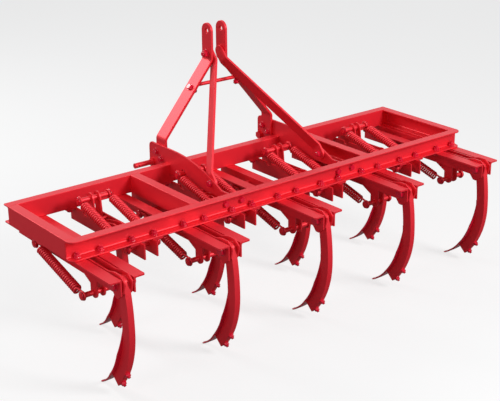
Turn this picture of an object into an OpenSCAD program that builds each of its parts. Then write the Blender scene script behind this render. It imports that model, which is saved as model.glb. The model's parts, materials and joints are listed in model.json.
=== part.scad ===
// Spring-loaded field cultivator for a tractor's three-point hitch, nine tines in two rows.
// X runs across the machine, Y forward to the tractor, Z up from the ground.
// Each module is drawn about the middle of the frame's top face, and stand() sets it on the ground.

/* [Frame] */
// Length of the front and rear rails
frame_length = 2000; // [1950:10:2400]
// Depth of the frame over both rails
frame_depth = 494; // [480:2:520]
// Height of the frame's top above the ground
frame_height = 557; // [540:1:580]
// Height of the rolled channel
channel_height = 75; // [70:1:80]
// Width of the channel's flanges
channel_flange = 40; // [36:1:44]
// Thickness of the channel's web
channel_web = 5; // [4:0.5:7]
// Thickness of the channel's flanges
channel_lip = 6; // [5:0.5:8]
// Radius inside the channel's corners
channel_root = 6; // [3:0.5:9]
// Radius of the rear rail's outer end corners
rear_corner = 30; // [10:1:36]
// Radius of the front rail's outer end corners
front_corner = 6; // [2:1:20]
// Distance of each cross member's web from the middle
cross_x = 459; // [430:1:480]

/* [Tine rows] */
// Distance of the outer tines from the frame's ends
tine_inset = 85.6; // [80:0.1:95]
// Distance of the rear row's pivots behind the frame's middle
rear_pivot_back = 436; // [425:1:450]
// Distance from the rear row's pivots to the front row's
row_step = 386; // [376:1:396]
// Depth of the pivots below the frame's top
pivot_drop = 103; // [98:1:108]
// Diameter of the pivot bolts and spring pins
pin_d = 20; // [16:1:22]
// Trip angle allowed to the front tines
front_trip = 20; // [10:1:24]

/* [Tine brackets] */
// Gap between the two angles of a bracket
bracket_gap = 49; // [48:0.5:54]
// Thickness of the bracket angles
angle_t = 6; // [5:0.5:8]
// Width of the angles' flat leg
angle_flat = 46; // [36:1:50]
// Depth of the angles' upright leg
angle_leg = 58; // [54:1:64]
// Radius inside the angles' corner
angle_root = 6; // [3:0.5:8]
// How far the rear brackets reach behind their pivot
bracket_tail = 36; // [24:1:40]
// Radius of the rear brackets' outer corner
bracket_corner = 7; // [4:1:24]
// How far the front brackets reach behind the rear rail
front_bracket_tail = 26; // [10:1:40]
// Diameter of the front row's stop bars
stop_d = 10; // [8:1:14]
// Share of the front arm's length where the stop bar rests on it
stop_place = 0.72; // [0.6:0.01:0.78]

/* [Tines] */
// Thickness of a shank, across the machine
shank_t = 25; // [22:0.5:28]
// Depth of a shank, fore and aft
shank_w = 43; // [38:1:46]
// Set-back of the shank's hindmost middle line behind its pivot
shank_bulge = 26; // [20:1:30]
// Radius of the shank's upper curve
shank_upper_r = 780; // [650:10:900]
// Depth below the pivot where the two curves meet
shank_join = 180; // [170:1:190]
// Sweep of the shank's lower curve
shank_sweep = 42; // [38:1:45]
// Height of the shank above its pivot
shank_head = 24; // [22:1:30]
// Radius of the shank's hind upper corner
shank_corner = 24; // [10:1:30]

/* [Shovels] */
// Thickness of a shovel
shovel_t = 8; // [6:0.5:10]
// Width of a shovel
shovel_w = 60; // [50:1:70]
// Width of a shovel's blunt point
shovel_point = 18; // [12:1:26]
// Length of the taper to each point
shovel_taper = 125; // [90:1:140]
// Sweep of the shovel above the place where the shank's curves meet
shovel_top = 5.5; // [4:0.1:8]
// Sweep of the shovel from that place to its working point
shovel_tip = 63.3; // [60:0.1:66]
// Depth worn flat off the working points
tip_wear = 3; // [2:0.5:5]

/* [Arms] */
// Thickness of the arm plates beside each shank
arm_t = 6; // [4:0.5:6]
// Forward reach of the arm to its spring pin
arm_reach = 163; // [155:1:170]
// Height between the pivot and the spring pin
arm_rise = 91; // [84:1:96]
// Radius of the arm's round ends about its pins
arm_eye = 22; // [20:0.5:24]
// Reach of the rear arm's nose behind its pivot
arm_nose = 41; // [38:1:50]
// Radius of the front arm about its pivot
arm_hub = 36; // [32:1:38]
// Width of the hub washers beside the arm plates
hub_washer = 5.7; // [5:0.1:5.8]

/* [Springs] */
// Distance between a spring's two eyes
spring_length = 338; // [330:1:350]
// Outer diameter of a spring
spring_d = 44; // [40:0.5:44]
// Wire diameter of a spring
wire_d = 9.5; // [8:0.5:10]
// Distance from an eye's centre to the coils
hook_length = 36; // [34:1:42]
// Side distance of each spring from its tine
spring_x = 63; // [61:0.5:65]

/* [Hitch] */
// Clearance between a hitch plate and the nearest spring
plate_clear = 5; // [5:0.5:7]
// Thickness of the hitch plates
plate_t = 8; // [6:0.5:9]
// Reach of the hitch plates ahead of the frame's middle
plate_front = 358; // [350:1:370]
// Height of the hitch plates above the frame's top
plate_top = 66; // [60:1:72]
// Depth of the hitch plates below the frame's top
plate_drop = 44; // [36:1:50]
// Radius of the plates' sloping top edge
plate_arc = 700; // [650:10:800]
// Radius of the plates' front upper corner
plate_corner = 20; // [14:1:30]
// Distance ahead of the middle where the plates start to slope
plate_crest = 190; // [170:1:200]
// Width of the feet on the rear rail
foot_w = 100; // [90:1:120]
// Height of the feet on the rear rail
foot_h = 48; // [40:1:52]
// Height of the feet's lower edge above the rail's
foot_rise = 13; // [10:1:18]
// Diameter of the lower link pins
link_pin_d = 22; // [20:0.5:24]
// Free length of the lower link pins
link_pin_free = 92; // [80:1:105]
// Distance of the lower link pins ahead of the frame's middle
link_pin_y = 334; // [325:1:338]
// Depth of the lower link pins below the frame's top
link_pin_drop = 20; // [16:1:22]
// Diameter of the linch pin holes
linch_d = 11; // [9:0.5:12]
// Radius of the link pins' nuts and collars
link_nut_r = 17; // [15:0.5:20]

/* [Mast] */
// Height of the mast above the frame's top
mast_top = 540; // [520:1:560]
// Width of the mast bars
mast_w = 65; // [60:1:70]
// Thickness of the mast bars
mast_t = 12; // [10:0.5:14]
// Distance of the mast ahead of the frame's middle
mast_y = 284; // [282:1:290]
// Clear gap of the top link's clevis
clevis_gap = 61; // [56:1:64]
// Diameter of the top link hole
top_link_d = 20; // [18:0.5:25.5]
// Height of the mast's upper bend
mast_bend = 385; // [375:1:392]
// Height of the mast's lower bend
mast_foot_bend = 92; // [88:1:105]
// Depth of the mast's feet below the frame's top
mast_foot_drop = 5; // [0:1:12]
// Radius of the bends in the bars
bend_r = 22; // [16:1:30]
// Height of the tie bar between the mast's legs
tie_height = 300; // [280:1:330]
// Diameter of the tie bar
tie_d = 16; // [12:1:20]
// Length of the tie bar's flat ends
tie_tab = 62; // [50:1:70]
// Thickness of the tie bar's flat ends
tie_tab_t = 6; // [4:0.5:8]

/* [Braces] */
// Width of the rear braces
brace_w = 50; // [44:1:52]
// Thickness of the rear braces
brace_t = 10; // [8:0.5:12]
// Height of the clamp bolt through braces and mast
clamp_height = 412; // [405:1:420]
// Distance of the braces' foot bolts behind the frame's middle
brace_back = 67; // [55:1:80]
// Depth of the braces' foot bolts below the frame's top
brace_drop = 5; // [2:1:12]
// Straight length of the braces beside the clamp bolt
brace_head = 43; // [36:1:50]
// Straight length of the braces beside the foot bolt
brace_foot = 34; // [28:1:44]

/* [Hidden] */
$fn = 48;

// Gap left at a seat that turns or rests
seat = 0.3;
// Radial clearance of a bolt in its bore
bore_clear = 0.05;
// Room round a pin that swings past a plate
pin_room = 6;
// Length of a spring pin beyond its springs
pin_end = 6;
// Length of a pivot bolt beyond its bracket
bolt_end = 12;
pin_r = pin_d / 2;
web_y = frame_depth / 2 - channel_flange;
leg_x = bracket_gap / 2;
pin_reach = spring_x + wire_d / 2 + pin_end;
arm_x = shank_t / 2 + arm_t;
ground = -frame_height;

// Tines stand side by side at this distance, in turn in the rear and the front row
tine_pitch = (frame_length / 2 - tine_inset) / 4;

// The left hitch plate stands inside a front tine's outer spring, the right one outside
hitch_x = (spring_d + plate_t) / 2 + plate_clear;
plate_x = tine_pitch + spring_x;

// Pivots and pins of the two rows, as points fore-aft and up
rear_pivot = [-rear_pivot_back, -pivot_drop];
front_pivot = rear_pivot + [row_step, 0];
rear_moving_pin = rear_pivot + [arm_reach, -arm_rise];
front_moving_pin = front_pivot + [arm_reach, arm_rise];
front_swing = norm([arm_reach, arm_rise]);
front_rest = atan2(arm_rise, arm_reach);
front_tripped_pin = front_pivot + front_swing * [cos(front_rest - front_trip), sin(front_rest - front_trip)];
spring_run = sqrt(spring_length * spring_length - arm_rise * arm_rise);
rear_fixed_pin = rear_moving_pin + [spring_run, arm_rise];
front_fixed_pin = front_moving_pin - [spring_run, arm_rise];

// The lower curve's front face, where the shovel lies, ends with the working point on the ground
shovel_r = (frame_height - pivot_drop - shank_join + tip_wear) / sin(shovel_tip);
curve_mid = [shovel_r + shank_w / 2 - shank_bulge, -shank_join];

// Outline of the rear arm about its pivot, clockwise from the heel
rail_stop = pivot_drop - channel_height - seat;
rear_arm_outline = [[-arm_nose, 18], [-14, 38], [20, 38], [60, rail_stop], [262, rail_stop], [262, -22],
    [arm_reach + arm_eye, -62], [arm_reach + arm_eye, -arm_rise], [arm_reach - arm_eye, -arm_rise],
    [arm_reach - arm_eye, -34], [58, -34], [46, -27], [20, -57], [4, -58], [-32, -27], [-arm_nose, 6]];
arm_knee = [150, -12];
knee_r = 20;

// The machine's fore-aft middle, between the hitch plates and the rear shanks
rear_reach = rear_pivot.x - shank_bulge - shank_w / 2;
stand_y = -(plate_front + rear_reach) / 2;

paint = "crimson";

module stand() translate([0, stand_y, frame_height]) children();

// Turns a drawing of the side view, fore-aft and up, to stand across X
module side(x0, x1) rotate([90, 0, 90]) translate([0, 0, x0]) linear_extrude(x1 - x0) children();

module mirrored_x(on) mirror([on ? 1 : 0, 0, 0]) children();

// Unit normal on the left of the line that touches two circles on that side
function touch_normal(p, rp, q, rq) =
    let (d = q - p, run = norm(d), lean = asin((rp - rq) / run), a = atan2(d.y, d.x) + 90 - lean)
    [cos(a), sin(a)];

// Crossing point of two lines, each given by a point and a direction
function meet(p, d, q, e) = p + d * cross(q - p, e) / cross(d, e);

// Part of a ring between two angles less than 90 apart
module ring_sector(r_in, r_out, a0, a1) {
    far = 2 * r_out;
    intersection() {
        difference() {
            circle(r_out, $fn = 96);
            circle(r_in, $fn = 96);
        }
        polygon([[0, 0], far * [cos(a0), sin(a0)], far * [cos((a0 + a1) / 2), sin((a0 + a1) / 2)],
            far * [cos(a1), sin(a1)]]);
    }
}

// Points along an arc from one angle to another
function arc(middle, r, a0, a1, steps = 8) =
    [for (i = [0:steps]) let (a = a0 + (a1 - a0) * i / steps) middle + r * [cos(a), sin(a)]];

// Edge of a flat bar: four points of its middle line, both bends rounded
module bent_bar(p, t, r) {
    dir = [for (i = [0:2]) (p[i + 1] - p[i]) / norm(p[i + 1] - p[i])];
    left = [for (d = dir) [-d.y, d.x]];
    heading = [for (d = dir) atan2(d.y, d.x)];
    turn = [for (i = [0:1]) heading[i + 1] - heading[i]];
    hand = [for (a = turn) sign(a)];
    middle = [for (i = [0:1]) p[i + 1] - dir[i] * r * tan(abs(turn[i]) / 2) + hand[i] * r * left[i]];
    from = [for (i = [0:1]) heading[i] - hand[i] * 90];
    upper = [for (i = [0:1]) arc(middle[i], r - hand[i] * t / 2, from[i], from[i] + turn[i])];
    lower = [for (i = [0:1]) arc(middle[i], r + hand[i] * t / 2, from[i] + turn[i], from[i])];
    polygon(concat([p[0] + left[0] * t / 2], upper[0], upper[1],
        [p[3] + left[2] * t / 2, p[3] - left[2] * t / 2], lower[1], lower[0], [p[0] - left[0] * t / 2]));
}

// Rolled channel: the web's back on the axis, flanges along +X, top face at 0
module channel_section() {
    mouth = channel_height - 2 * channel_lip;
    difference() {
        translate([0, -channel_height]) square([channel_flange, channel_height]);
        translate([channel_web, channel_lip - channel_height]) {
            translate([channel_root, 0]) square([channel_flange, mouth]);
            translate([0, channel_root]) square([channel_flange, mouth - 2 * channel_root]);
            for (v = [channel_root, mouth - channel_root]) translate([channel_root, v]) circle(channel_root);
        }
    }
}

// Front rail as drawn: web towards the frame's middle, flanges outward, end corners rounded
module rail(corner) color(paint)
    difference() {
        translate([0, web_y, 0]) side(-frame_length / 2, frame_length / 2) channel_section();
        for (s = [-1, 1])
            translate([s * (frame_length / 2 - corner), frame_depth / 2 - corner, -channel_height - 1])
            linear_extrude(channel_height + 2) difference() {
                translate([s > 0 ? 0 : -corner - 1, 0]) square(corner + 1);
                circle(corner);
            }
    }

module front_rail() stand() rail(front_corner);
module rear_rail() stand() mirror([0, 1, 0]) rail(rear_corner);

// A channel between the rails, its web's back at x and its flanges towards the middle
module member(x) color(paint)
    mirrored_x(x > 0) translate([-abs(x), 0, 0]) rotate([90, 0, 0])
        linear_extrude(2 * web_y, center = true) channel_section();

// Angle section: flat leg under the rails, upright leg beside the tine
module angle_section() {
    corner = [angle_t, -angle_t];
    difference() {
        translate([0, -angle_leg]) square([angle_flat, angle_leg]);
        translate(corner) {
            translate([angle_root, -angle_leg]) square([angle_flat, angle_leg]);
            translate([0, -angle_root - angle_leg]) square([angle_flat, angle_leg]);
            translate([angle_root, -angle_root]) circle(angle_root);
        }
    }
}

// One angle of a bracket on the right of its tine, from y0 to y1
module bracket_angle(y0, y1)
    translate([leg_x, y1, -channel_height]) rotate([90, 0, 0]) linear_extrude(y1 - y0) angle_section();

module cross_pin(at, half, r = pin_r) translate([0, at.x, at.y]) rotate([0, 90, 0])
    cylinder(h = 2 * half, r = r, center = true);

module rear_bracket(x) translate([x, 0, 0]) {
    tail = rear_pivot.x - bracket_tail;
    for (m = [false, true]) mirrored_x(m) difference() {
        bracket_angle(tail, frame_depth / 2);
        translate([leg_x + angle_flat - bracket_corner, tail + bracket_corner, -channel_height - angle_t - 1])
            linear_extrude(angle_t + 2) difference() {
                translate([0, -bracket_corner - 1]) square(bracket_corner + 1);
                circle(bracket_corner);
            }
    }
    cross_pin(rear_pivot, leg_x + angle_t + bolt_end);
    cross_pin(rear_fixed_pin, pin_reach);
}

// The front brackets' flat legs are cut away between the rails, where the springs pass,
// and their upright legs are notched where the tripped arm's spring pin comes down
module front_bracket(x) translate([x, 0, 0]) {
    tail = -frame_depth / 2 - front_bracket_tail;
    for (m = [false, true]) mirrored_x(m) difference() {
        bracket_angle(tail, frame_depth / 2);
        translate([leg_x + angle_t, -web_y, -channel_height - angle_leg])
            cube([angle_flat, 2 * web_y, angle_leg + 1]);
        translate([leg_x + angle_t, tail - 1, -channel_height - angle_leg])
            cube([angle_flat, front_bracket_tail + 1, angle_leg + 1]);
        cross_pin(front_tripped_pin, leg_x + 2 * angle_t, pin_r + pin_room, $fn = 24);
    }
    cross_pin(front_pivot, leg_x + angle_t + bolt_end);
    cross_pin(front_fixed_pin, pin_reach);
    cross_pin(front_stop, leg_x, stop_d / 2);
}

module rear_brackets() stand() color(paint) for (i = [-4:2:4]) rear_bracket(i * tine_pitch);
module front_brackets() stand() color(paint) for (i = [-3:2:3]) front_bracket(i * tine_pitch);

// The front stop bar rests on the arm's upper edge, just behind the post
front_edge = touch_normal([0, 0], arm_hub, arm_knee, knee_r);
front_stop = front_pivot + arm_knee * stop_place
    + front_edge * (arm_hub + (knee_r - arm_hub) * stop_place + stop_d / 2 + seat);

// Side view of a shank about its pivot
module shank_outline() {
    head = asin((shank_head + shank_join) / shank_upper_r);
    corner = shank_head - shank_corner;
    back_r = shank_upper_r + shank_w / 2;
    hind = shank_upper_r - shank_bulge - sqrt(back_r * back_r - pow(corner + shank_join, 2));
    difference() {
        translate([shank_upper_r - shank_bulge, -shank_join])
            ring_sector(back_r - shank_w, back_r, 180 - head, 180);
        translate([hind + shank_corner, corner]) difference() {
            translate([-2 * shank_corner, 0]) square(2 * shank_corner);
            circle(shank_corner);
        }
    }
    translate(curve_mid) ring_sector(shovel_r, shovel_r + shank_w, 180, 180 + shank_sweep);
}

// Bell crank seen from the side: round hub, knee and eye, and the straight sides that touch them
module front_arm_outline() {
    eye = [arm_reach, arm_rise];
    upper = touch_normal([0, 0], arm_hub, arm_knee, knee_r);
    under = touch_normal(arm_knee, knee_r, [0, 0], arm_hub);
    front = touch_normal(eye, arm_eye, arm_knee, knee_r);
    back = touch_normal(arm_knee, knee_r, eye, arm_eye);
    notch = meet(upper * arm_hub, [-upper.y, upper.x], eye + back * arm_eye, [-back.y, back.x]);
    polygon(concat(
        arc([0, 0], arm_hub, atan2(upper.y, upper.x), atan2(under.y, under.x) + 360, 16),
        arc(arm_knee, knee_r, atan2(under.y, under.x), atan2(front.y, front.x)),
        arc(eye, arm_eye, atan2(front.y, front.x), atan2(back.y, back.x), 16),
        [notch]));
}

module rear_arm_plate() {
    polygon(rear_arm_outline);
    translate([arm_reach, -arm_rise]) circle(arm_eye);
}

// Shank, arm plates, hub washers and moving spring pin, about the pivot
module tine_body(rise) color(paint) {
    difference() {
        union() {
            side(-shank_t / 2, shank_t / 2) shank_outline();
            for (s = [-arm_x, shank_t / 2]) side(s, s + arm_t)
                if (rise > 0) front_arm_outline(); else rear_arm_plate();
            cross_pin([0, 0], arm_x + hub_washer, pin_r + 8);
        }
        cross_pin([0, 0], arm_x + hub_washer + 1, pin_r + bore_clear);
    }
    cross_pin([arm_reach, rise * arm_rise], pin_reach);
}

module rear_tine(x) stand() translate([x, rear_pivot.x, rear_pivot.y]) tine_body(-1);
module front_tine(x) stand() translate([x, front_pivot.x, front_pivot.y]) tine_body(1);

// Reversible shovel on the shank's front face, pointed at both ends, about the pivot
module shovel_body() color(paint) {
    top = curve_mid - shovel_r * [cos(shovel_top), -sin(shovel_top)];
    tip = curve_mid - shovel_r * [cos(shovel_tip), sin(shovel_tip)];
    chord = tip - top;
    length = norm(chord);
    half = shovel_w / 2;
    point = shovel_point / 2;
    intersection() {
        side(-half, half) translate(curve_mid)
            ring_sector(shovel_r - shovel_t, shovel_r, 180 - shovel_top, 180 + shovel_tip);
        translate([0, top.x, top.y]) rotate([atan2(chord.y, chord.x), 0, 0]) translate([0, 0, -length / 2])
            linear_extrude(length) polygon([[-point, 0], [-half, shovel_taper],
                [-half, length - shovel_taper], [-point, length + 2], [point, length + 2],
                [half, length - shovel_taper], [half, shovel_taper], [point, 0]]);
        translate([-shovel_w, -frame_height, ground + pivot_drop])
            cube([2 * shovel_w, 2 * frame_height, frame_height]);
    }
}

module rear_shovel(x) stand() translate([x, rear_pivot.x, rear_pivot.y]) shovel_body();
module front_shovel(x) stand() translate([x, front_pivot.x, front_pivot.y]) shovel_body();

// Close-wound extension spring from eye to eye, along +Z, its coils as a grooved sleeve
module spring() {
    eye_r = pin_r + seat + wire_d / 2;
    outer = spring_d / 2;
    coils = floor((spring_length - 2 * hook_length) / wire_d);
    first = (spring_length - coils * wire_d) / 2;
    groove = 0.35 * wire_d;
    crown = 0.06 * wire_d;
    rotate_extrude() polygon(concat([[0, first]],
        [for (i = [0:coils - 1]) each [[outer - groove, first + i * wire_d],
            [outer - crown, first + (i + 0.2) * wire_d], [outer - crown, first + (i + 0.8) * wire_d]]],
        [[outer - groove, first + coils * wire_d], [0, first + coils * wire_d]]));
    for (z = [0, spring_length]) translate([0, 0, z]) rotate([0, 90, 0])
        rotate_extrude() translate([eye_r, 0]) circle(wire_d / 2, $fn = 16);
    for (z = [eye_r, spring_length - first - 1]) translate([0, 0, z])
        cylinder(h = first - eye_r + 1, r = wire_d / 2);
}

// The pair of springs beside a tine, between two pins of the side view
module spring_pair(x, p, q) stand() color(paint) {
    d = q - p;
    for (s = [-1, 1]) translate([x + s * spring_x, p.x, p.y]) rotate([atan2(d.y, d.x) - 90, 0, 0]) spring();
}

module rear_springs(x) spring_pair(x, rear_fixed_pin, rear_moving_pin);
module front_springs(x) spring_pair(x, front_fixed_pin, front_moving_pin);

// Side view of a hitch plate, over the front rail and down to the rear one
module plate_outline() {
    foot_top = -web_y + plate_t;
    slope_end = asin((plate_crest - foot_top) / plate_arc);
    steps = 12;
    difference() {
        union() {
            polygon(concat(
                [for (i = [0:steps]) let (a = slope_end * i / steps)
                    [plate_crest - plate_arc * sin(a), plate_top - plate_arc * (1 - cos(a))]],
                [[foot_top, foot_rise - channel_height], [foot_top + 90, -plate_drop],
                    [web_y, -plate_drop], [web_y, 0], [frame_depth / 2, 0],
                    [frame_depth / 2, -plate_drop], [plate_front, -plate_drop],
                    [plate_front, plate_top - plate_corner], [plate_front - plate_corner, plate_top]]));
            translate([plate_front - plate_corner, plate_top - plate_corner]) circle(plate_corner);
            translate([foot_top, foot_rise - channel_height]) square([60, foot_h]);
        }
        translate([link_pin_y, -link_pin_drop]) circle(link_pin_d / 2 + bore_clear);
    }
}

module hitch_plate() {
    side(plate_x - plate_t / 2, plate_x + plate_t / 2) plate_outline();
    translate([plate_x - foot_w / 2, -web_y, foot_rise - channel_height]) cube([foot_w, plate_t, foot_h]);
}

// The left plate crosses the spring pin of a front tine, and is notched for its travel
module left_hitch_plate() stand() color(paint) difference() {
    translate([hitch_x, 0, 0]) mirror([1, 0, 0]) hitch_plate();
    side(hitch_x - plate_x - plate_t, hitch_x - plate_x + plate_t) translate(front_pivot) pin_track();
}

module right_hitch_plate() stand() color(paint) translate([hitch_x, 0, 0]) hitch_plate();

// Path of the front arm's spring pin about its pivot, with room on both sides
module pin_track() {
    room = pin_r + pin_room;
    ring_sector(front_swing - room, front_swing + room, front_rest - 2 * front_trip, front_rest);
    translate([arm_reach, arm_rise]) circle(room);
}

// Lower link pin: shaft outside the plate, collar and nut on its two sides
module link_pin(side_sign) stand() color(paint)
    translate([hitch_x + side_sign * plate_x, link_pin_y, -link_pin_drop]) rotate([0, 90 * side_sign, 0]) {
        nut_h = 18;
        collar_h = 8;
        difference() {
            translate([0, 0, -plate_t / 2 - nut_h])
                cylinder(h = plate_t + nut_h + link_pin_free, r = link_pin_d / 2);
            translate([0, 0, plate_t / 2 + link_pin_free - 14]) rotate([90, 0, 0])
                cylinder(h = 2 * link_pin_d, r = linch_d / 2, center = true);
        }
        translate([0, 0, -plate_t / 2 - nut_h]) cylinder(h = nut_h, r = link_nut_r, $fn = 6);
        translate([0, 0, plate_t / 2]) cylinder(h = collar_h, r = link_nut_r);
    }

module left_link_pin() link_pin(-1);
module right_link_pin() link_pin(1);

cheek_x = (clevis_gap + mast_t) / 2;
mast_foot_x = plate_x - plate_t / 2 - mast_t / 2;

// Mast bar on the right: clevis cheek, leg and foot bent from one flat
module mast_bar() difference() {
    intersection() {
        translate([0, mast_y + mast_w / 2, 0]) rotate([90, 0, 0]) linear_extrude(mast_w)
            bent_bar([[cheek_x, mast_top], [cheek_x, mast_bend], [mast_foot_x, mast_foot_bend],
                [mast_foot_x, -mast_foot_drop]], mast_t, bend_r);
        side(0, plate_x) {
            translate([mast_y - mast_w / 2, -mast_foot_drop])
                square([mast_w, mast_top + mast_foot_drop - mast_w / 2]);
            translate([mast_y, mast_top - mast_w / 2]) circle(mast_w / 2);
        }
    }
    cross_pin([mast_y - 2, mast_top - mast_w / 2], plate_x, top_link_d / 2);
}

module left_mast_bar() stand() color(paint) translate([hitch_x, 0, 0]) mirror([1, 0, 0]) mast_bar();
module right_mast_bar() stand() color(paint) translate([hitch_x, 0, 0]) mast_bar();

// Tie bar: a round bar whose flattened ends lie along the legs' inner faces
module mast_tie() stand() color(paint) translate([hitch_x, mast_y, 0]) {
    leg = [mast_foot_x - cheek_x, mast_foot_bend - mast_bend];
    along = leg / norm(leg);
    inward = [along.y, -along.x];
    on_leg = [cheek_x, mast_bend] + leg * (mast_bend - tie_height) / (mast_bend - mast_foot_bend);
    face = on_leg + inward * mast_t / 2;
    for (m = [false, true]) mirrored_x(m) rotate([90, 0, 0]) linear_extrude(2 * tie_d, center = true)
        polygon([face, face + along * tie_tab, face + along * tie_tab + inward * tie_tab_t,
            face + inward * tie_tab_t]);
    translate([0, 0, face.y - tie_d / 2 - 1]) rotate([0, 90, 0])
        cylinder(h = 2 * (face.x + inward.x * tie_tab_t / 2), r = tie_d / 2, center = true);
}

// Rear brace on the right: bent twice on its flat, in the plane of its slope, both ends round
module brace() {
    head_x = clevis_gap / 2 - brace_t / 2;
    foot_x = plate_x - plate_t / 2 - brace_t / 2;
    end = brace_w / 2;
    run = [mast_y + brace_back, clamp_height + brace_drop];
    length = norm(run);
    translate([0, mast_y, clamp_height]) rotate([180 + atan2(run.y, run.x), 0, 0]) difference() {
        translate([0, 0, -end]) linear_extrude(brace_w)
            bent_bar([[head_x, -end], [head_x, brace_head], [foot_x, length - brace_foot],
                [foot_x, length + end]], brace_t, bend_r);
        translate([head_x, 0, 0]) brace_end(end);
        translate([foot_x, length, 0]) mirror([0, 1, 0]) brace_end(end);
    }
}

// What is cut off a bar's square end to make it round
module brace_end(r) rotate([90, 0, 90]) linear_extrude(brace_t + 2, center = true) difference() {
    translate([-2 * r, -2 * r]) square([2 * r, 4 * r]);
    circle(r);
}

module left_brace() stand() color(paint) translate([hitch_x, 0, 0]) mirror([1, 0, 0]) brace();
module right_brace() stand() color(paint) translate([hitch_x, 0, 0]) brace();

front_rail();
rear_rail();
stand() member(-frame_length / 2);  // left_end_member
stand() member(frame_length / 2);  // right_end_member
stand() member(-cross_x);  // left_cross_member
stand() member(cross_x);  // right_cross_member
left_hitch_plate();
right_hitch_plate();
left_link_pin();
right_link_pin();
left_mast_bar();
right_mast_bar();
mast_tie();
left_brace();
right_brace();
rear_brackets();
front_brackets();
rear_tine(-4 * tine_pitch);  // rear_tine_1
rear_tine(-2 * tine_pitch);  // rear_tine_2
rear_tine(0);  // rear_tine_3
rear_tine(2 * tine_pitch);  // rear_tine_4
rear_tine(4 * tine_pitch);  // rear_tine_5
front_tine(-3 * tine_pitch);  // front_tine_1
front_tine(-tine_pitch);  // front_tine_2
front_tine(tine_pitch);  // front_tine_3
front_tine(3 * tine_pitch);  // front_tine_4
rear_shovel(-4 * tine_pitch);  // rear_shovel_1
rear_shovel(-2 * tine_pitch);  // rear_shovel_2
rear_shovel(0);  // rear_shovel_3
rear_shovel(2 * tine_pitch);  // rear_shovel_4
rear_shovel(4 * tine_pitch);  // rear_shovel_5
front_shovel(-3 * tine_pitch);  // front_shovel_1
front_shovel(-tine_pitch);  // front_shovel_2
front_shovel(tine_pitch);  // front_shovel_3
front_shovel(3 * tine_pitch);  // front_shovel_4
rear_springs(-4 * tine_pitch);  // rear_springs_1
rear_springs(-2 * tine_pitch);  // rear_springs_2
rear_springs(0);  // rear_springs_3
rear_springs(2 * tine_pitch);  // rear_springs_4
rear_springs(4 * tine_pitch);  // rear_springs_5
front_springs(-3 * tine_pitch);  // front_springs_1
front_springs(-tine_pitch);  // front_springs_2
front_springs(tine_pitch);  // front_springs_3
front_springs(3 * tine_pitch);  // front_springs_4
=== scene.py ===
"""Looks of a spring-loaded field cultivator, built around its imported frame."""

import json
import math

import bmesh
import bpy
import numpy as np
from mathutils import Matrix, Vector

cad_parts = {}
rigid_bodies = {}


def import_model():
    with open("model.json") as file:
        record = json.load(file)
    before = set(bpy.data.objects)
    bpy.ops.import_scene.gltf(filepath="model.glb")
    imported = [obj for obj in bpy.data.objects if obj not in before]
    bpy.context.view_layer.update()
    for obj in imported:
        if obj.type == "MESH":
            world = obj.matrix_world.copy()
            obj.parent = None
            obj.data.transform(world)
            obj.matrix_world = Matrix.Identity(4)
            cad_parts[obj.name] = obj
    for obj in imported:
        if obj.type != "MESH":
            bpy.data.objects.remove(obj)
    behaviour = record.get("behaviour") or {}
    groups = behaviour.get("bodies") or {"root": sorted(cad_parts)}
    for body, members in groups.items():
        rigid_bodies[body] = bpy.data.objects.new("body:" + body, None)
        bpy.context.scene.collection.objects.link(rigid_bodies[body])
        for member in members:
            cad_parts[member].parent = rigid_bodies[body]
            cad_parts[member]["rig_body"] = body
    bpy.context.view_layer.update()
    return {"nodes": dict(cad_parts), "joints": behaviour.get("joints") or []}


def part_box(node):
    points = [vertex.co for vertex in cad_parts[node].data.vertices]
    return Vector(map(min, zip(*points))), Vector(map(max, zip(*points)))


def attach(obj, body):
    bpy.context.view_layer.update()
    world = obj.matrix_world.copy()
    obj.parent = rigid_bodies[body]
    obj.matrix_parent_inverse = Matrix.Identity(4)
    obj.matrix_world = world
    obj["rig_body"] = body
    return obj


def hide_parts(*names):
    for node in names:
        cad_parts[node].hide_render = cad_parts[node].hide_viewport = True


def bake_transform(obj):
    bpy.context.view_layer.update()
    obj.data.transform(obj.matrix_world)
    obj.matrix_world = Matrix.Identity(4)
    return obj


bl_info = {
    "name": "Field cultivator",
    "version": (1, 0, 0),
    "blender": (4, 5, 0),
    "location": "View3D > Sidebar > Cultivator",
    "description": "Red enamel, coil springs, fasteners, welds and studio for a field cultivator",
    "category": "Add Mesh",
}

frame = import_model()

# Places read from the frame, in metres
RAIL_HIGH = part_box("front_rail")[1]
REAR_LOW, REAR_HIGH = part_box("rear_rail")
TOP = RAIL_HIGH.z
MIDDLE_Y = (RAIL_HIGH.y + REAR_LOW.y) / 2
TRIPS = {joint["child"]: joint for joint in frame["joints"]}
HITCH_X = (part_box("right_hitch_plate")[1].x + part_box("left_hitch_plate")[0].x) / 2
MAST_LOW, MAST_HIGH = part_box("right_mast_bar")
MAST_Y = (MAST_LOW.y + MAST_HIGH.y) / 2

# Rails and brackets, in metres: channel height, flange thickness and width, web, then the angles' thickness,
# inner face and bolts
CHANNEL = 0.075
LIP = 0.006
FLANGE = 0.040
WEB = 0.005
BRACKET_T = 0.006
BRACKET_INNER = 0.0245
BOLT_SPREAD = 0.048

# Springs and arms, in metres: the moving pin's place from the pivot, and the springs' places on their pins
ARM_REACH = 0.163
ARM_RISE = 0.091
SPRING_LENGTH = 0.338
SPRING_SIDE = 0.063
PIN_R = 0.010

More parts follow.
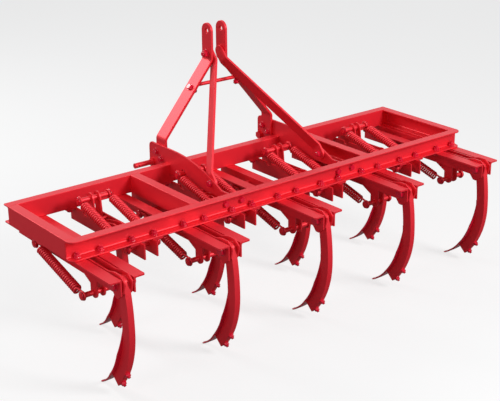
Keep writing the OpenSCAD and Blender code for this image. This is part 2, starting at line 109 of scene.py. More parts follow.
# Shanks and shovels: one circle, whose lower arc the shovel lies on. Angles are below the level line
SHANK_W = 0.043
SHANK_SET = 0.026
SHOVEL_T = 0.008
SHOVEL_HALF = 0.030
SHOVEL_POINT = 0.0095
SHOVEL_TOP, SHOVEL_TIP = math.radians(-5.5), math.radians(63.3)
SHOVEL_BOLT_ANGLES = (math.radians(29.5), math.radians(38.5))
PIVOT_DROP = 0.103
CURVE_JOIN = 0.180
CURVE_SINK = 0.003
PIVOT_HEIGHT = TOP - PIVOT_DROP
CURVE_R = (PIVOT_HEIGHT - CURVE_JOIN + CURVE_SINK) / math.sin(SHOVEL_TIP)
CURVE_MID = (CURVE_R + SHANK_W / 2 - SHANK_SET, -CURVE_JOIN)

# Hitch, in metres: thicknesses, the mast's inner half width, and heights over the frame's top
PLATE_T = 0.008
MAST_T = 0.012
CHEEK = 0.0305
CLAMP_HEIGHT = 0.412
LEG_TOP, LEG_FOOT = 0.385, 0.092
TIE_DOWN = 0.139
TIE_ANGLE_T = 0.006
BRACE_FOOT_T = 0.010
FOOT_BOLT_X = (-0.040, 0.036)
FOOT_BOLT_DROP = 0.038

# Bolts through each hitch plate: forward of the middle, over the frame's top, thickness held inside the plate
PLATE_BOLTS = ((0.306, 0.032, MAST_T), (0.272, 0.008, MAST_T), (-0.067, -0.005, BRACE_FOOT_T))

# Edges sharper than the first are rounded, and faces flatter than the second are merged
CREASE = math.radians(32)
FLAT = math.radians(0.6)

# Sockets of a Mix node that mixes colours
MIX_FACTOR, MIX_FIRST, MIX_SECOND, MIX_RESULT = 0, 6, 7, 2


# Node graph helpers

class Signal:
    """A socket of a node tree. Arithmetic on it adds Math nodes, whichever side it stands on."""

    def __init__(self, graph, socket):
        self.graph = graph
        self.socket = socket

    def math(self, operation, first, second):
        return self.graph.node("ShaderNodeMath", {"operation": operation}, {0: first, 1: second})

    def __add__(self, other):
        return self.math("ADD", self, other)

    def __radd__(self, other):
        return self.math("ADD", other, self)

    def __mul__(self, other):
        return self.math("MULTIPLY", self, other)

    def __rmul__(self, other):
        return self.math("MULTIPLY", other, self)


class Graph:
    """The node tree of a material or world, emptied and ready for new nodes."""

    def __init__(self, owner):
        owner.use_nodes = True
        self.tree = owner.node_tree
        self.tree.nodes.clear()

    def node(self, kind, settings=None, inputs=None, output=0):
        """Adds a node, its settings first, then the values or links of its sockets."""
        made = self.tree.nodes.new(kind)
        for key, value in (settings or {}).items():
            setattr(made, key, value)
        for key, value in (inputs or {}).items():
            if isinstance(value, Signal):
                self.tree.links.new(value.socket, made.inputs[key])
            else:
                made.inputs[key].default_value = value
        return Signal(self, made.outputs[output]) if len(made.outputs) else made

    def mix(self, factor, first, second):
        """Colour between two colours."""
        return self.node("ShaderNodeMix", {"data_type": "RGBA"},
                         {MIX_FACTOR: factor, MIX_FIRST: first, MIX_SECOND: second}, MIX_RESULT)

    def mix_shader(self, factor, first, second):
        """Shader between two shaders."""
        return self.node("ShaderNodeMixShader", {}, {0: factor, 1: first, 2: second})

    def noise(self, place, scale, detail):
        """Cloudy values from 0 to 1."""
        return self.node("ShaderNodeTexNoise", {}, {"Vector": place, "Scale": scale, "Detail": detail})


def shaded(colour, share):
    """A colour with its red, green and blue scaled."""
    return (colour[0] * share, colour[1] * share, colour[2] * share, 1.0)


def enamel(name, settings, lightness, gloss, ior):
    """Sprayed gloss enamel: slow change of shade, faint orange peel, a clear hard surface."""
    found = bpy.data.materials.get(name)
    if found:
        return found
    material = bpy.data.materials.new(name)
    graph = Graph(material)
    place = graph.node("ShaderNodeTexCoord", output="Object")
    cloud = graph.noise(place, scale=5.0, detail=4.0)
    film = graph.noise(place, scale=70.0, detail=3.0)
    peel = graph.noise(place, scale=420.0, detail=2.0)
    deep = shaded(settings.paint, 0.74 * lightness)
    full = shaded(settings.paint, 1.06 * lightness)
    spread = graph.node("ShaderNodeMapRange", {"clamp": True},
                        {"Value": 0.7 * cloud + 0.3 * film, "From Min": 0.30, "From Max": 0.66})
    colour = graph.mix(spread, deep, full)
    rough = settings.roughness / gloss + 0.14 * film
    relief = graph.node("ShaderNodeBump", {}, {"Strength": settings.peel, "Distance": 0.0006,
                                               "Height": 0.7 * peel + 0.3 * film})
    shader = graph.node("ShaderNodeBsdfPrincipled", {}, {
        "Base Color": colour, "Roughness": rough, "Normal": relief, "Coat Weight": settings.coat,
        "Coat Roughness": 0.05, "Coat IOR": 1.4, "IOR": ior})
    graph.node("ShaderNodeOutputMaterial", {}, {"Surface": shader})
    return material


# Mesh helpers

def link(piece):
    """Puts an object into the scene."""
    bpy.context.scene.collection.objects.link(piece)
    return piece


def add_piece(name, points, faces, material, smooth_angle):
    """Makes a mesh object of points and faces, its doubles merged and its faces turned outward."""
    mesh = bpy.data.meshes.new(name)
    mesh.from_pydata(np.asarray(points, float).reshape(-1, 3).tolist(), [], faces)
    tidy_mesh(mesh, smooth_angle)
    mesh.materials.append(material)
    return link(bpy.data.objects.new(name, mesh))


def tidy_mesh(mesh, smooth_angle):
    """Merges doubles, turns faces outward and shades smooth up to an angle in degrees."""
    work = bmesh.new()
    work.from_mesh(mesh)
    bmesh.ops.remove_doubles(work, verts=work.verts, dist=0.00001)
    bmesh.ops.recalc_face_normals(work, faces=work.faces)
    work.to_mesh(mesh)
    work.free()
    mesh.shade_smooth()
    mesh.set_sharp_from_angle(angle=math.radians(smooth_angle))
    mesh.update()


def grid_faces(rows, columns, start):
    """Quads of a grid of points stored row by row, closed from its last column to its first."""
    r, c = np.meshgrid(np.arange(rows - 1), np.arange(columns), indexing="ij")
    n = (c + 1) % columns
    near, far = r * columns, (r + 1) * columns
    quads = np.stack([near + c, near + n, far + n, far + c], axis=-1)
    return (quads.reshape(-1, 4) + start).tolist()


def capped(grid, start=0):
    """Points and faces of a closed tube given as rings of points, with a flat face at each end."""
    rows, columns = grid.shape[:2]
    faces = grid_faces(rows, columns, start)
    faces.append([start + i for i in range(columns)])
    faces.append([start + (rows - 1) * columns + i for i in range(columns)])
    return grid.reshape(-1, 3), faces


def gather(parts):
    """Joins several grids of rings into one set of points and faces."""
    points, faces, count = [], [], 0
    for grid in parts:
        found, quads = capped(grid, count)
        points.append(found)
        faces.extend(quads)
        count += len(found)
    return np.concatenate(points), faces


def unit(v):
    """Vectors scaled to length one, along the last axis."""
    v = np.asarray(v, float)
    return v / np.linalg.norm(v, axis=-1, keepdims=True)


def axis_frame(axis):
    """Two unit vectors square to an axis and to each other, and the axis's own."""
    axis = unit(axis)
    side = np.array([0.0, 0.0, 1.0]) if abs(axis[2]) < 0.9 else np.array([1.0, 0.0, 0.0])
    first = unit(np.cross(side, axis))
    return first, np.cross(axis, first), axis


def rings_about(foot, axis, radii, heights, angle):
    """Rings about an axis: foot + radius (cos angle, sin angle) square to the axis + height along it."""
    first, second, along = axis_frame(axis)
    around = np.cos(angle)[None, :, None] * first + np.sin(angle)[None, :, None] * second
    return np.asarray(foot, float) + radii[:, :, None] * around + heights[:, :, None] * along


def turned(profile, foot, axis, steps=24):
    """Surface of revolution: a profile of radius and height, turned about an axis from its foot."""
    radius, height = np.asarray(profile, float).T[:, :, None]
    angle = np.arange(steps) * 2 * np.pi / steps
    return rings_about(foot, axis, radius, height, angle)


def hex_block(foot, axis, flats, height, steps=24):
    """Hexagonal block: its radius is half the width across flats over the cosine of the angle from a flat.

    Its outer face is chamfered by a cone, so the corners drop further than the flats' middles.
    """
    face_share, flat_drop, cone_slope = 0.94, 0.10, 0.58
    angle = np.arange(steps) * 2 * np.pi / steps
    from_flat = (angle + np.pi / 6) % (np.pi / 3) - np.pi / 6
    edge = flats / 2 / np.cos(from_flat)
    inner = np.full(steps, flats / 2 * face_share)
    drop = flat_drop * height + (edge - flats / 2) * cone_slope
    radii = np.stack([edge, edge, inner])
    heights = np.stack([np.zeros(steps), height - drop, np.full(steps, height)])
    return rings_about(foot, axis, radii, heights, angle)


def washer(foot, axis, radius, thickness):
    """Flat ring seen from outside: a low disc, its rim bevelled on both sides."""
    rim = thickness * 0.3
    return turned([(radius - rim, 0), (radius, rim), (radius, thickness - rim), (radius - rim, thickness)],
                  foot, axis)


def stud(foot, axis, radius, length):
    """Bolt end standing out of its nut: thread grooves, each from a crest to a root, and a chamfered tip."""
    threads, crest, root, root_share = 4, 0.15, 0.62, 0.9
    pitch = length / threads
    profile = []
    for turn in range(threads):
        profile += [(radius, (turn + crest) * pitch), (radius * root_share, (turn + root) * pitch)]
    profile += [(radius, length * 0.97), (radius * 0.82, length * 1.04)]
    return turned(profile, foot, axis, 16)


def bolt_set(head_foot, nut_foot, axis, size):
    """Rings of a bolt: washer and hexagon head at one end, washer, nut and bolt end at the other."""
    axis = np.asarray(axis, float)
    head_foot = np.asarray(head_foot, float)
    nut_foot = np.asarray(nut_foot, float)
    flats, rim, thick = 1.55 * size, 1.05 * size, 0.18 * size
    head, nut, end = 0.65 * size, 0.8 * size, 0.35 * size
    return [washer(head_foot, axis, rim, thick),
            hex_block(head_foot + axis * thick, axis, flats, head),
            washer(nut_foot, -axis, rim, thick),
            hex_block(nut_foot - axis * thick, -axis, flats, nut),
            stud(nut_foot - axis * (thick + nut), -axis, 0.5 * size, end)]


def swept(path, radius, reference, sides=10):
    """Round wire along a path: at each point a circle square to the tangent, turned to a reference."""
    path = np.asarray(path, float)
    tangent = unit(np.gradient(path, axis=0))
    reference = np.asarray(reference, float)
    normal = unit(reference - np.sum(reference * tangent, axis=1, keepdims=True) * tangent)
    binormal = np.cross(tangent, normal)
    angle = np.arange(sides) * 2 * np.pi / sides
    radius = np.broadcast_to(np.asarray(radius, float), (len(path),))
    cosine, sine = np.cos(angle)[None, :, None], np.sin(angle)[None, :, None]
    circle = cosine * normal[:, None, :] + sine * binormal[:, None, :]
    return path[:, None, :] + radius[:, None, None] * circle


def weld_bead(start, finish, radius=0.0032, seed=0):
    """Fillet weld: a round wire along the seam whose radius swells and sinks with each ripple of the pool."""
    ripple_length, wander_length = 0.0032, 0.021
    start, finish = np.asarray(start, float), np.asarray(finish, float)
    length = np.linalg.norm(finish - start)
    steps = max(12, int(length / (ripple_length / 2)))
    share = np.linspace(0, 1, steps)
    ripple = 0.5 + 0.5 * np.cos(share * length / ripple_length * 2 * np.pi)
    wander = np.sin(share * length / wander_length * 2 * np.pi + seed) * 0.08
    ends = np.clip(np.minimum(share, 1 - share) * length / (2 * radius), 0.3, 1) ** 0.5
    path = start + share[:, None] * (finish - start)
    side = axis_frame(finish - start)[0]
    return swept(path, radius * (0.88 + 0.12 * ripple + wander) * ends, np.tile(side, (steps, 1)), 8)


def finished_copy(node, material, bevel):
    """A merged copy of a plate or rolled node with its edges rounded, standing for the node."""
    source = frame["nodes"][node]
    mesh = source.data.copy()
    work = bmesh.new()
    work.from_mesh(mesh)
    bmesh.ops.remove_doubles(work, verts=work.verts, dist=0.00002)
    bmesh.ops.dissolve_limit(work, angle_limit=FLAT, verts=work.verts, edges=work.edges)
    work.to_mesh(mesh)
    work.free()
    mesh.shade_smooth()
    mesh.set_sharp_from_angle(angle=CREASE)
    mesh.materials.clear()
    mesh.materials.append(material)
    piece = link(bpy.data.objects.new(node + "_painted", mesh))
    edge = piece.modifiers.new("Rounded edges", "BEVEL")
    edge.width = bevel
    edge.segments = 2
    edge.limit_method = "ANGLE"
    edge.angle_limit = CREASE
    edge.harden_normals = True
    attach(piece, source["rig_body"])
    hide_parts(node)


# Sizes and colours that a user would change

class EnamelSettings(bpy.types.PropertyGroup):
    paint: bpy.props.FloatVectorProperty(
        name="Paint", description="Colour of the enamel", subtype="COLOR", size=4, min=0, max=1,
        default=(0.76, 0.009, 0.040, 1.0))
    roughness: bpy.props.FloatProperty(
        name="Roughness", description="Roughness of the enamel", default=0.16, min=0.05, max=0.8)
    coat: bpy.props.FloatProperty(
        name="Clear coat", description="Strength of the glossy skin", default=0.60, min=0, max=1)
    peel: bpy.props.FloatProperty(
        name="Orange peel", description="Strength of the sprayed paint's fine relief", default=0.10,
        min=0, max=1)
    bevel: bpy.props.FloatProperty(
        name="Edge radius", description="Rounding of rolled and cut edges", default=0.0018, unit="LENGTH")


class SpringSettings(bpy.types.PropertyGroup):
    wire: bpy.props.FloatProperty(
        name="Wire", description="Diameter of the spring wire", default=0.0083, unit="LENGTH")
    pitch: bpy.props.FloatProperty(
        name="Pitch", description="Rise of one turn, with the spring a little stretched", default=0.0112,
        unit="LENGTH")
    outer: bpy.props.FloatProperty(
        name="Outer diameter", description="Diameter over the coils", default=0.0375, unit="LENGTH")
    turns: bpy.props.IntProperty(name="Turns", description="Turns of each spring", default=24, min=8, max=40)
    steps: bpy.props.IntProperty(name="Steps", description="Points along one turn", default=20, min=8, max=48)


class FastenerSettings(bpy.types.PropertyGroup):
    rail_bolt: bpy.props.FloatProperty(
        name="Rail bolts", description="Diameter of the bolts through the rails", default=0.014,
        unit="LENGTH")
    pivot_bolt: bpy.props.FloatProperty(
        name="Pivot bolts", description="Diameter of the pivot bolts", default=0.020, unit="LENGTH")
    shovel_bolt: bpy.props.FloatProperty(
        name="Shovel bolts", description="Diameter of the shovel bolts", default=0.011, unit="LENGTH")
    hitch_bolt: bpy.props.FloatProperty(
        name="Hitch bolts", description="Diameter of the bolts in the hitch", default=0.014, unit="LENGTH")


class StudioSettings(bpy.types.PropertyGroup):
    floor: bpy.props.FloatVectorProperty(
        name="Floor", description="Colour of the floor", subtype="COLOR", size=4, min=0, max=1,
        default=(0.90, 0.90, 0.90, 1.0))
    bounce: bpy.props.FloatVectorProperty(
        name="Bounce", description="Colour of the floor as the machine mirrors it", subtype="COLOR", size=4,
        min=0, max=1, default=(0.22, 0.20, 0.20, 1.0))
    lens: bpy.props.FloatProperty(
        name="Lens", description="Focal length of the camera in millimetres", default=81.43)
    ambient: bpy.props.FloatProperty(
        name="Ambient", description="Strength of the light all around", default=0.28)
    key: bpy.props.FloatProperty(
        name="Key light", description="Power of the large soft lamp", default=205.0)


# Each group's enamel: name, lightness, gloss and index of refraction
FINISHES = {
    "frame": ("red_enamel", 1.0, 1.0, 1.33),
    "springs": ("spring_enamel", 0.94, 1.2, 1.55),
    "fasteners": ("fastener_enamel", 0.97, 0.9, 1.33),
    "shovels": ("shovel_enamel", 1.0, 0.95, 1.33),
}


def paint(context, part="frame"):
    """The enamel of a group of pieces."""
    name, lightness, gloss, ior = FINISHES[part]
    return enamel(name, context.scene.cultivator_enamel, lightness, gloss, ior)


def finish_nodes(context, nodes, share=1.0):
    """Finished copies of several nodes, their edges rounded by a share of the edge radius."""
    settings = context.scene.cultivator_enamel
    for node in nodes:
        finished_copy(node, paint(context), settings.bevel * share)


def node_of(body, kind):
    """The node of a tine's body that holds its tine, shovel or springs."""
    row, number = body.split("_")
    return f"{row}_{kind}_{number}"


def pivot_of(body):
    """Middle of a tine's pivot bolt."""
    return np.array(TRIPS[body]["pos_m"], float)


def spring_pins(body):
    """Middle points of a tine's fixed and moving spring pins. The two rows' springs mirror each other."""
    run = math.sqrt(SPRING_LENGTH ** 2 - ARM_RISE ** 2)
    turn = 1 if body.startswith("rear") else -1
    moving = pivot_of(body) + (0, ARM_REACH, -turn * ARM_RISE)
    return moving + (0, turn * run, turn * ARM_RISE), moving


def pin_washers(pin):
    """Washers on the outer ends of a spring pin."""
    radius, thickness, past_spring = 0.016, 0.0025, 0.006
    return [washer(pin + (side * (SPRING_SIDE + past_spring), 0, 0), (side, 0, 0), radius, thickness)
            for side in (-1, 1)]


# Operators, one for each group of pieces

class CULTIVATOR_OT_frame(bpy.types.Operator):
    """Rails, end members and cross members with rounded edges and welded corners"""
    bl_idname = "cultivator.frame"
    bl_label = "Frame"

    def execute(self, context):
        members = ("left_end_member", "right_end_member", "left_cross_member", "right_cross_member")
        finish_nodes(context, ("front_rail", "rear_rail", *members))
        beads = []
        sunk, lifted = 0.001, 0.0005
        web = RAIL_HIGH.y - FLANGE - MIDDLE_Y
        for node in members:
            low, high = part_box(node)
            outer, inner = (low.x, high.x) if node.startswith("left") else (high.x, low.x)
            step = 1 if node.startswith("left") else -1
            for side in (-1, 1):
                y = MIDDLE_Y + side * (web - sunk)
                x = outer + step * (WEB + sunk)
                beads.append(weld_bead((x, y, TOP - CHANNEL + LIP), (x, y, TOP - LIP), seed=len(beads)))
                for z in (TOP - LIP - lifted, TOP - CHANNEL + LIP + lifted):
                    beads.append(weld_bead((outer + step * WEB, y, z), (inner, y, z), seed=len(beads)))
        points, faces = gather(beads)
        piece = add_piece("frame_welds", points, faces, paint(context), 80)
        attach(piece, "frame")
        return {"FINISHED"}


class CULTIVATOR_OT_brackets(bpy.types.Operator):
    """Angle brackets of both rows with rounded edges"""
    bl_idname = "cultivator.brackets"
    bl_label = "Tine brackets"

    def execute(self, context):
        finish_nodes(context, ("rear_brackets", "front_brackets"), 0.7)
        return {"FINISHED"}


class CULTIVATOR_OT_tines(bpy.types.Operator):
    """Shanks with their arm plates and moving spring pins, with rounded edges"""
    bl_idname = "cultivator.tines"
    bl_label = "Tines"

    def execute(self, context):
        finish_nodes(context, [node_of(body, "tine") for body in sorted(TRIPS)])
        return {"FINISHED"}


class CULTIVATOR_OT_shovels(bpy.types.Operator):
    """Reversible shovels, forged to a bevelled edge at the sides and both points"""
    bl_idname = "cultivator.shovels"
    bl_label = "Shovels"

    def execute(self, context):
        for body in sorted(TRIPS):
            piece = add_piece(f"{body}_shovel", *self.surface(body), paint(context, "shovels"), 28)
            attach(piece, body)
            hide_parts(node_of(body, "shovel"))
        return {"FINISHED"}

    @staticmethod
    def surface(body):
        """Band of a cylinder: sections along its arc, with a flat back, square sides and a bevelled front.

        The half width grows from the blunt point over the taper, and the thickness with it. Each line along
        the arc ends at the working point's angle, or where it reaches the ground: sine = depth over radius.
        """
        blunt, taper, thinned, corner = 0.022, 0.125, 0.05, 0.001
        length = (SHOVEL_TIP - SHOVEL_TOP) * CURVE_R
        share = np.linspace(0, 1, 49)
        from_end = np.minimum(share, 1 - share) * length
        grown = np.clip((from_end - blunt) / (taper - blunt), 0, 1)
        width = SHOVEL_POINT + (SHOVEL_HALF - SHOVEL_POINT) * grown
        depth = SHOVEL_T * (0.8 + 0.2 * np.clip(from_end / thinned, 0, 1))
        bevel = np.minimum(0.0035, width * 0.4)
        across = np.stack([-width, -width + corner, width - corner, width, width, width - bevel,
                           0 * width, -width + bevel, -width], axis=1)
        inward = np.stack([0 * depth + corner, 0 * depth, 0 * depth, 0 * depth + corner, depth * 0.55,
                           depth * 0.94, depth, depth * 0.94, depth * 0.55], axis=1)
        radius = CURVE_R - inward
        finish = np.minimum(SHOVEL_TIP, np.arcsin(np.minimum(1, (PIVOT_HEIGHT - CURVE_JOIN) / radius)))
        angle = SHOVEL_TOP + (finish - SHOVEL_TOP) * share[:, None]
        pivot = pivot_of(body)
        grid = np.stack([pivot[0] + across,
                         pivot[1] + CURVE_MID[0] - radius * np.cos(angle),
                         pivot[2] + CURVE_MID[1] - radius * np.sin(angle)], axis=-1)
        return capped(grid)


class CULTIVATOR_OT_springs(bpy.types.Operator):
    """Extension springs with hooked ends, stretched between their pins"""
    bl_idname = "cultivator.springs"
    bl_label = "Coil springs"

    def execute(self, context):
        settings = context.scene.cultivator_springs
        for body in sorted(TRIPS):
            fixed, moving = spring_pins(body)
            rings = []
            for side in (-1, 1):
                shift = np.array([side * SPRING_SIDE, 0, 0])
                rings.append(self.wire(settings, fixed + shift, moving + shift))
            points, faces = gather(rings)
            piece = add_piece(f"{body}_springs", points, faces, paint(context, "springs"), 60)
            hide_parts(node_of(body, "springs"))
            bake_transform(piece)
        return {"FINISHED"}

    @staticmethod
    def wire(settings, fixed, moving):
        """Helix, then a bend to the middle and a round hook about each pin.

        Half of the wire is worked out, from the middle turn to one hook: the helix has radius R and rises one
        pitch per turn; a Hermite curve leaves its end along the tangent and meets the hook's circle; the hook
        turns 290 degrees about the pin. The other half is that one, turned half round about the middle turn's
        own radius.
        """
        wire = settings.wire
        ring = settings.outer / 2 - wire / 2
        pitch = settings.pitch
        half = SPRING_LENGTH / 2
        eye = PIN_R + 0.0003 + wire / 2
        leave = math.radians(-50)
        leave_pull, meet_pull = 0.040, 0.030
        turns = settings.turns // 2
        angle = np.linspace(0, turns * 2 * np.pi + leave, int(turns * settings.steps))
        coil = np.stack([ring * np.sin(angle), ring * np.cos(angle), pitch * angle / (2 * np.pi)], axis=1)
        coil_out = np.stack([np.sin(angle), np.cos(angle), 0 * angle], axis=1)
        hook = np.radians(np.linspace(60, 350, 24))
        loop = np.stack([0 * hook, eye * np.sin(hook), half - eye * np.cos(hook)], axis=1)
        loop_out = np.stack([0 * hook, np.sin(hook), -np.cos(hook)], axis=1)
        start, end = coil[-1], loop[0]
        leaving = unit([math.cos(leave), -math.sin(leave), 0.3]) * leave_pull
        meeting = unit([0, math.cos(hook[0]), math.sin(hook[0])]) * meet_pull
        t = np.linspace(0, 1, 12)[1:-1, None]
        bend = ((2 * t ** 3 - 3 * t ** 2 + 1) * start + (t ** 3 - 2 * t ** 2 + t) * leaving
                + (3 * t ** 2 - 2 * t ** 3) * end + (t ** 3 - t ** 2) * meeting)
        bend_out = (1 - t) * coil_out[-1] + t * loop_out[0]
        path = np.concatenate([coil, bend, loop])
        outward = np.concatenate([coil_out, bend_out, loop_out])
        flip = np.array([-1.0, 1.0, -1.0])
        path = np.concatenate([(path * flip)[:0:-1], path])
        outward = np.concatenate([(outward * flip)[:0:-1], outward])
        along = unit(moving - fixed)
        across = np.array([1.0, 0.0, 0.0])
        basis = np.stack([across, np.cross(along, across), along])
        return swept(path @ basis + (fixed + moving) / 2, wire / 2, outward @ basis)


class CULTIVATOR_OT_hitch(bpy.types.Operator):
    """Hitch plates, mast, braces, tie bar and link pins, with rounded edges"""
    bl_idname = "cultivator.hitch"
    bl_label = "Hitch"

    def execute(self, context):
        finish_nodes(context, ("left_hitch_plate", "right_hitch_plate", "left_mast_bar", "right_mast_bar",
                               "left_brace", "right_brace", "mast_tie", "left_link_pin", "right_link_pin"))
        return {"FINISHED"}


class CULTIVATOR_OT_fasteners(bpy.types.Operator):
    """Bolts, nuts and washers of the rails, pivots, shovels and hitch"""
    bl_idname = "cultivator.fasteners"
    bl_label = "Fasteners"

    def execute(self, context):
        sizes = context.scene.cultivator_fasteners
        self.add(context, "frame_bolts", "frame", self.rail_bolts(sizes) + self.pivot_bolts(sizes))
        self.add(context, "hitch_bolts", "frame", self.hitch_bolts(sizes))
        for body in sorted(TRIPS):
            self.add(context, f"{body}_shovel_bolts", body, self.shovel_bolts(body, sizes))
        return {"FINISHED"}

    @staticmethod
    def add(context, name, body, parts):
        """One piece of all the fasteners in a group, riding on its body."""
        points, faces = gather(parts)
        piece = add_piece(name, points, faces, paint(context, "fasteners"), 30)
        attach(piece, body)

    @staticmethod
    def rail_bolts(sizes):
        """Two bolts for each bracket at each rail, nut on the lower flange and head under the bracket."""
        parts = []
        toward_web = 0.004
        flange_y = RAIL_HIGH.y - FLANGE / 2 - MIDDLE_Y - toward_web
        for body in sorted(TRIPS):
            x = pivot_of(body)[0]
            for dx in (-BOLT_SPREAD, BOLT_SPREAD):
                for side in (-1, 1):
                    y = MIDDLE_Y + side * flange_y
                    parts += bolt_set((x + dx, y, TOP - CHANNEL - BRACKET_T),
                                      (x + dx, y, TOP - CHANNEL + LIP), (0, 0, -1), sizes.rail_bolt)
        return parts

    @staticmethod
    def pivot_bolts(sizes):
        """Pivot bolts' heads and nuts on the brackets' outer faces, and washers on the fixed spring pins."""
        parts = []
        size = sizes.pivot_bolt
        rim, thick, flats, height = 1.05 * size, 0.15 * size, 1.6 * size, 0.625 * size
        face = BRACKET_INNER + BRACKET_T
        for body in sorted(TRIPS):
            for side in (-1, 1):
                foot = pivot_of(body) + (side * face, 0, 0)
                parts += [washer(foot, (side, 0, 0), rim, thick),
                          hex_block(foot + (side * thick, 0, 0), (side, 0, 0), flats, height)]
            parts += pin_washers(spring_pins(body)[0])
        return parts

    @staticmethod
    def shovel_bolts(body, sizes):
        """Round heads on the shovel's face, nuts behind the shank, and washers on the moving spring pin."""
        parts = []
        size = sizes.shovel_bolt
        thick, nut = 0.002, size * 0.8
        dome = np.array([(0.95, 0), (0.93, 0.12), (0.7, 0.32), (0.35, 0.42)]) * size
        middle = pivot_of(body) + (0, CURVE_MID[0], CURVE_MID[1])
        for angle in SHOVEL_BOLT_ANGLES:
            outward = np.array([0, -math.cos(angle), -math.sin(angle)])
            front = middle + outward * (CURVE_R - SHOVEL_T)
            back = middle + outward * (CURVE_R + SHANK_W)
            parts += [turned(dome, front, -outward, 16),
                      washer(back, outward, size * 1.1, thick),
                      hex_block(back + outward * thick, outward, size * 1.6, nut),
                      stud(back + outward * (thick + nut), outward, size * 0.5, size * 0.5)]
        return parts + pin_washers(spring_pins(body)[1])

    @staticmethod
    def hitch_bolts(sizes):
        """Clamp bolt, tie bolts, leg and brace foot bolts, and the feet's bolts on the rear rail."""
        parts = []
        size = sizes.hitch_bolt
        plate_x = MAST_HIGH.x + PLATE_T / 2 - HITCH_X
        cheek = CHEEK + MAST_T
        middle = np.array([HITCH_X, MAST_Y, TOP])
        parts += bolt_set(middle + (cheek, 0, CLAMP_HEIGHT), middle + (-cheek, 0, CLAMP_HEIGHT), (1, 0, 0),
                          1.25 * size)
        leg = unit([0.5 * MAST_T + CHEEK - plate_x + 0.5 * (PLATE_T + MAST_T), 0, LEG_TOP - LEG_FOOT])
        for side in (-1, 1):
            mirror = np.array([side, 1, 1])
            out = np.array([side * leg[2], 0, -leg[0]])
            tie = middle + mirror * (cheek - 0.5 * MAST_T, 0, LEG_TOP) - mirror * leg * TIE_DOWN
            parts += bolt_set(tie + out * 0.5 * MAST_T, tie - out * (0.5 * MAST_T + TIE_ANGLE_T), out, size)
            plate = np.array([HITCH_X + side * plate_x, MIDDLE_Y, TOP])
            across = np.array([side, 0, 0])
            for y, z, inner_t in PLATE_BOLTS:
                parts += bolt_set(plate + across * PLATE_T / 2 + (0, y, z),
                                  plate - across * (PLATE_T / 2 + inner_t) + (0, y, z), across, size)
            for dx in FOOT_BOLT_X:
                foot = plate + (dx, REAR_HIGH.y - WEB - MIDDLE_Y, -FOOT_BOLT_DROP)
                parts += bolt_set(foot, foot + (0, WEB + PLATE_T, 0), (0, -1, 0), 0.95 * size)
        return parts


# Each lamp's place in metres, its diameter, and its power as a share of the key light's
LAMPS = {
    "key_lamp": ((1.6, -4.3, 3.0), 1.6, 1.0),
    "rim_lamp": ((-1.8, 3.9, 3.1), 1.8, 0.5),
    "left_lamp": ((-4.6, -1.2, 1.8), 1.8, 0.2),
}

# The camera's place from the frame's top middle, and its directions, fitted to the photograph
CAMERA_PLACE = (-2.737, -3.424, 1.544)
CAMERA_FORWARD = (0.5803, 0.7292, -0.3625)
CAMERA_RIGHT = (0.7810, -0.6246, -0.0061)


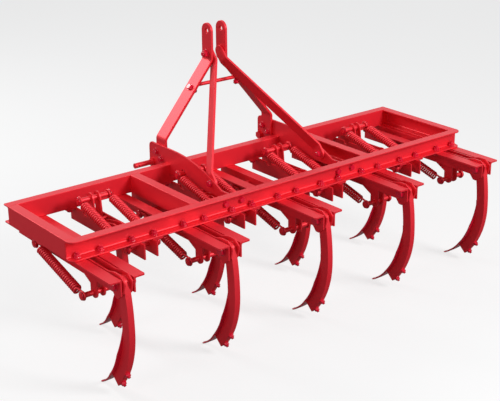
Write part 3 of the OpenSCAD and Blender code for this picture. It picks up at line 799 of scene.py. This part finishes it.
class CULTIVATOR_OT_stage(bpy.types.Operator):
    """Pale floor, white surroundings, soft lamps and the camera"""
    bl_idname = "cultivator.stage"
    bl_label = "Studio"

    def execute(self, context):
        settings = context.scene.cultivator_studio
        self.floor(settings)
        self.world(context, settings)
        for name, (place, size, share) in LAMPS.items():
            self.lamp(name, place, size, settings.key * share)
        self.camera(context, settings)
        context.scene.view_settings.view_transform = "Standard"
        return {"FINISHED"}

    @staticmethod
    def floor(settings):
        """A plane, 30 m each way from the middle: pale to the camera, darker in the machine's own light."""
        half = 30.0
        corners = np.array([(-half, -half, 0), (half, -half, 0), (half, half, 0), (-half, half, 0)])
        material = bpy.data.materials.new("studio_floor")
        graph = Graph(material)
        camera = graph.node("ShaderNodeLightPath", output="Is Camera Ray")
        dark = graph.node("ShaderNodeBsdfDiffuse", {}, {"Color": tuple(settings.bounce)})
        pale = graph.node("ShaderNodeBsdfDiffuse", {}, {"Color": tuple(settings.floor)})
        white = graph.node("ShaderNodeEmission", {}, {"Color": (1, 1, 1, 1), "Strength": 1.0})
        lit = graph.mix_shader(0.72, pale, white)
        surface = graph.mix_shader(camera, dark, lit)
        graph.node("ShaderNodeOutputMaterial", {}, {"Surface": surface})
        mesh = bpy.data.meshes.new("studio_floor")
        mesh.from_pydata(corners.tolist(), [], [(0, 1, 2, 3)])
        mesh.materials.append(material)
        piece = link(bpy.data.objects.new("studio_floor", mesh))

    @staticmethod
    def world(context, settings):
        """Dim light all around, which looks white to the camera and in mirrored and transmitted rays."""
        world = bpy.data.worlds.new("studio")
        context.scene.world = world
        graph = Graph(world)
        path = [graph.node("ShaderNodeLightPath", output=name)
                for name in ("Is Camera Ray", "Is Glossy Ray", "Is Transmission Ray")]
        seen = graph.node("ShaderNodeMath", {"operation": "MAXIMUM"}, {0: path[0], 1: path[1] + path[2]})
        around = graph.node("ShaderNodeBackground", {}, {"Color": (0.95, 0.97, 1.0, 1.0),
                                                         "Strength": settings.ambient})
        white = graph.node("ShaderNodeBackground", {}, {"Color": (1, 1, 1, 1), "Strength": 1.0})
        both = graph.mix_shader(seen, around, white)
        graph.node("ShaderNodeOutputWorld", {}, {"Surface": both})

    @staticmethod
    def lamp(name, place, size, power):
        """A round area lamp that faces the middle of the machine."""
        data = bpy.data.lights.new(name, "AREA")
        data.shape = "DISK"
        data.size = size
        data.energy = power
        lamp = link(bpy.data.objects.new(name, data))
        aim = Vector((0, 0, 0.5)) - Vector(place)
        lamp.matrix_world = Matrix.Translation(place) @ aim.to_track_quat("-Z", "Y").to_matrix().to_4x4()

    @staticmethod
    def camera(context, settings):
        """Camera whose columns are its right, up and backward directions, squared to each other."""
        place = Vector(CAMERA_PLACE) + Vector((0, MIDDLE_Y, TOP))
        forward = Vector(CAMERA_FORWARD).normalized()
        right = Vector(CAMERA_RIGHT)
        right = (right - right.dot(forward) * forward).normalized()
        up = right.cross(forward)
        turn = Matrix((right, up, -forward)).transposed().to_4x4()
        data = bpy.data.cameras.new("camera")
        data.sensor_fit = "HORIZONTAL"
        data.sensor_width = 36.0
        data.lens = settings.lens
        camera = link(bpy.data.objects.new("camera", data))
        camera.matrix_world = Matrix.Translation(place) @ turn
        context.scene.camera = camera


class CULTIVATOR_PT_panel(bpy.types.Panel):
    """Lists the groups of pieces in the 3D view's sidebar"""
    bl_label = "Field cultivator"
    bl_idname = "CULTIVATOR_PT_panel"
    bl_space_type = "VIEW_3D"
    bl_region_type = "UI"
    bl_category = "Cultivator"

    def draw(self, context):
        for operator in OPERATORS:
            self.layout.operator(operator.bl_idname)


SETTINGS = {"cultivator_enamel": EnamelSettings, "cultivator_springs": SpringSettings,
            "cultivator_fasteners": FastenerSettings, "cultivator_studio": StudioSettings}
OPERATORS = (CULTIVATOR_OT_frame, CULTIVATOR_OT_brackets, CULTIVATOR_OT_tines, CULTIVATOR_OT_shovels,
             CULTIVATOR_OT_springs, CULTIVATOR_OT_hitch, CULTIVATOR_OT_fasteners, CULTIVATOR_OT_stage)


def register():
    """Registers the settings, the operators and the panel."""
    for name, group in SETTINGS.items():
        bpy.utils.register_class(group)
        setattr(bpy.types.Scene, name, bpy.props.PointerProperty(type=group))
    for item in (*OPERATORS, CULTIVATOR_PT_panel):
        bpy.utils.register_class(item)


def unregister():
    """Takes them out again, in the opposite order."""
    for item in (CULTIVATOR_PT_panel, *reversed(OPERATORS)):
        bpy.utils.unregister_class(item)
    for name, group in SETTINGS.items():
        delattr(bpy.types.Scene, name)
        bpy.utils.unregister_class(group)


def main():
    """Registers the classes, then builds every group of pieces and the stage."""
    register()
    bpy.ops.cultivator.frame()
    bpy.ops.cultivator.brackets()
    bpy.ops.cultivator.tines()
    bpy.ops.cultivator.shovels()
    bpy.ops.cultivator.springs()
    bpy.ops.cultivator.hitch()
    bpy.ops.cultivator.fasteners()
    bpy.ops.cultivator.stage()


if __name__ == "__main__":
    main()
